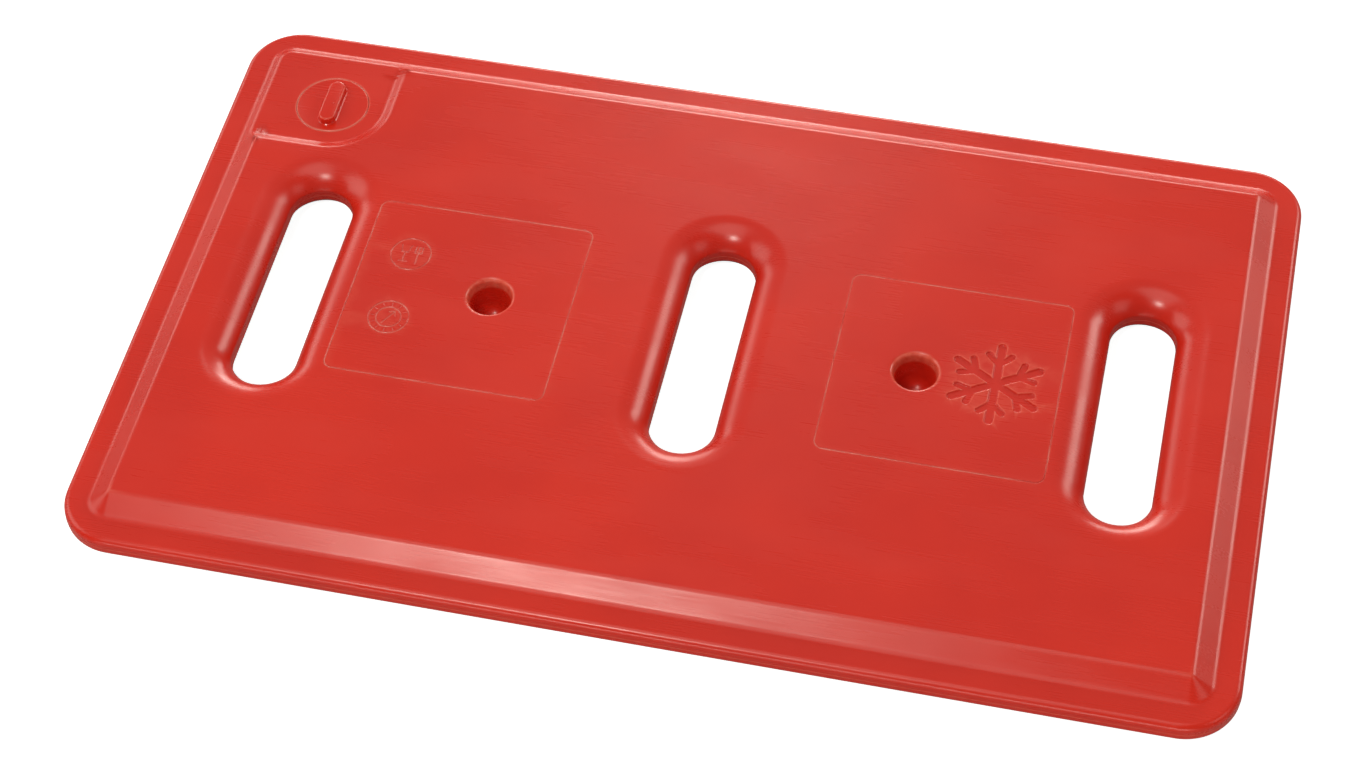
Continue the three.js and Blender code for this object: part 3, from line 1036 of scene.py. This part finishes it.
def direction(azimuth, elevation):
    """A unit vector from angles in degrees. Azimuth 0 is the camera's side (-Y), 90 is +X."""
    a, e = math.radians(azimuth), math.radians(elevation)
    return Vector((math.sin(a) * math.cos(e), -math.cos(a) * math.cos(e), math.sin(e)))


def floor_sheet(name, height, grey, glow):
    """A flat matt sheet at a height in mm, which is part of the stage."""
    half = FLOOR_HALF / MM
    corners = [(-1, -1), (1, -1), (1, 1), (-1, 1)]
    sheet = mesh_object(name, [(x * half, y * half, height) for x, y in corners], [(0, 1, 2, 3)])
    n = Nodes(name)
    n.set(Base_Color=(grey, grey, grey, 1), Roughness=0.9, Specular_IOR_Level=0.0)
    n.set(Emission_Color=(1, 1, 1, 1), Emission_Strength=glow)
    paint(sheet, n.material)
    return sheet


def build_floor():
    """A pale floor that only the camera sees, and a grey one that only lights the plate."""
    seen = floor_sheet("pale_floor", -0.2, 0.8, 0.9)
    seen.visible_diffuse = False
    seen.visible_glossy = False
    bounce = floor_sheet("floor_bounce", -0.1, 0.45, 0.0)
    bounce.visible_camera = False
    bounce.visible_shadow = False


def build_camera():
    """The camera, aimed at a point near the plate's middle with a slight roll."""
    back = direction(CAMERA_AZIMUTH, CAMERA_ELEVATION)
    roll = Matrix.Rotation(math.radians(CAMERA_ROLL), 4, "Z")
    camera = bpy.data.objects.new("camera", bpy.data.cameras.new("camera"))
    camera.data.sensor_width = 36
    camera.data.lens = CAMERA_LENS
    turn = back.to_track_quat("Z", "Y").to_matrix().to_4x4() @ roll
    place_at = Vector(CAMERA_AIM) + back * CAMERA_DISTANCE
    camera.matrix_world = Matrix.Translation(place_at) @ turn
    bpy.context.scene.collection.objects.link(camera)
    bpy.context.scene.camera = camera


def softbox(name, azimuth, elevation, distance, size, radiance):
    """A rectangular light of that radiance, aimed at the origin."""
    back = direction(azimuth, elevation)
    light = bpy.data.lights.new(name, "AREA")
    light.shape = "RECTANGLE"
    light.size, light.size_y = size
    light.color = LIGHT_COLOUR
    light.energy = radiance * math.pi * size[0] * size[1]
    obj = bpy.data.objects.new(name, light)
    obj.location = back * distance
    obj.rotation_mode = "QUATERNION"
    obj.rotation_quaternion = back.to_track_quat("Z", "Y")
    bpy.context.scene.collection.objects.link(obj)


def build_lights():
    """A dim warm world, a key light at the front left, and soft boxes all round."""
    world = bpy.data.worlds.new("studio")
    world.use_nodes = True
    background = world.node_tree.nodes["Background"]
    background.inputs["Color"].default_value = (*LIGHT_COLOUR, 1)
    background.inputs["Strength"].default_value = WORLD_GLOW
    bpy.context.scene.world = world
    softbox("key", -18.5, 53, 2.2, (0.3, 0.3), 44)
    softbox("top", -20, 80, 2.2, (1.3, 1.3), 1.7)
    softbox("front_band", 0, 4, 2.2, (2.6, 0.35), 6)
    softbox("left_side", -90, 32, 2.2, (1.4, 1.4), 2.2)
    softbox("right_side", 75, 35, 2.2, (1.0, 1.0), 1.2)
    softbox("back_sky", 194, 55, 2.2, (3.0, 3.0), 0.3)
    softbox("right_back", 131, 25, 2.2, (0.9, 0.7), 6.0)
    softbox("left_back", 232, 13, 2.2, (1.0, 0.6), 2.6)
    softbox("back_strip", 186, 10, 2.2, (1.6, 0.5), 6)
    softbox("back_glint", 189, 17, 2.2, (0.4, 0.4), 9)
    softbox("back_sheen", 190.5, 42, 2.4, (0.3, 0.5), 2.4)


# --- assembly -----------------------------------------------------------------------------


def place(obj, body, node, material):
    """Paints a piece and tells the frame what it rides on and which CAD node it replaces."""
    paint(obj, material)
    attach(obj, body)
    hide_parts(node)


def main():
    build_camera()
    build_lights()
    build_floor()
    red = polyethylene("red_polyethylene", 0.28)
    plug_red = polyethylene("red_plug_polyethylene", 0.24)
    place(build_shell(), "plate", "shell", red)
    place(build_neck(), "plate", "filler_neck", plug_red)
    place(build_seal(), "seal", "plug_seal", rubber())
    place(build_plug(), "plug", "filler_plug", plug_red)
    paint(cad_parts["gel_fill"], gel())
    bpy.context.scene.view_settings.view_transform = "Standard"


main()
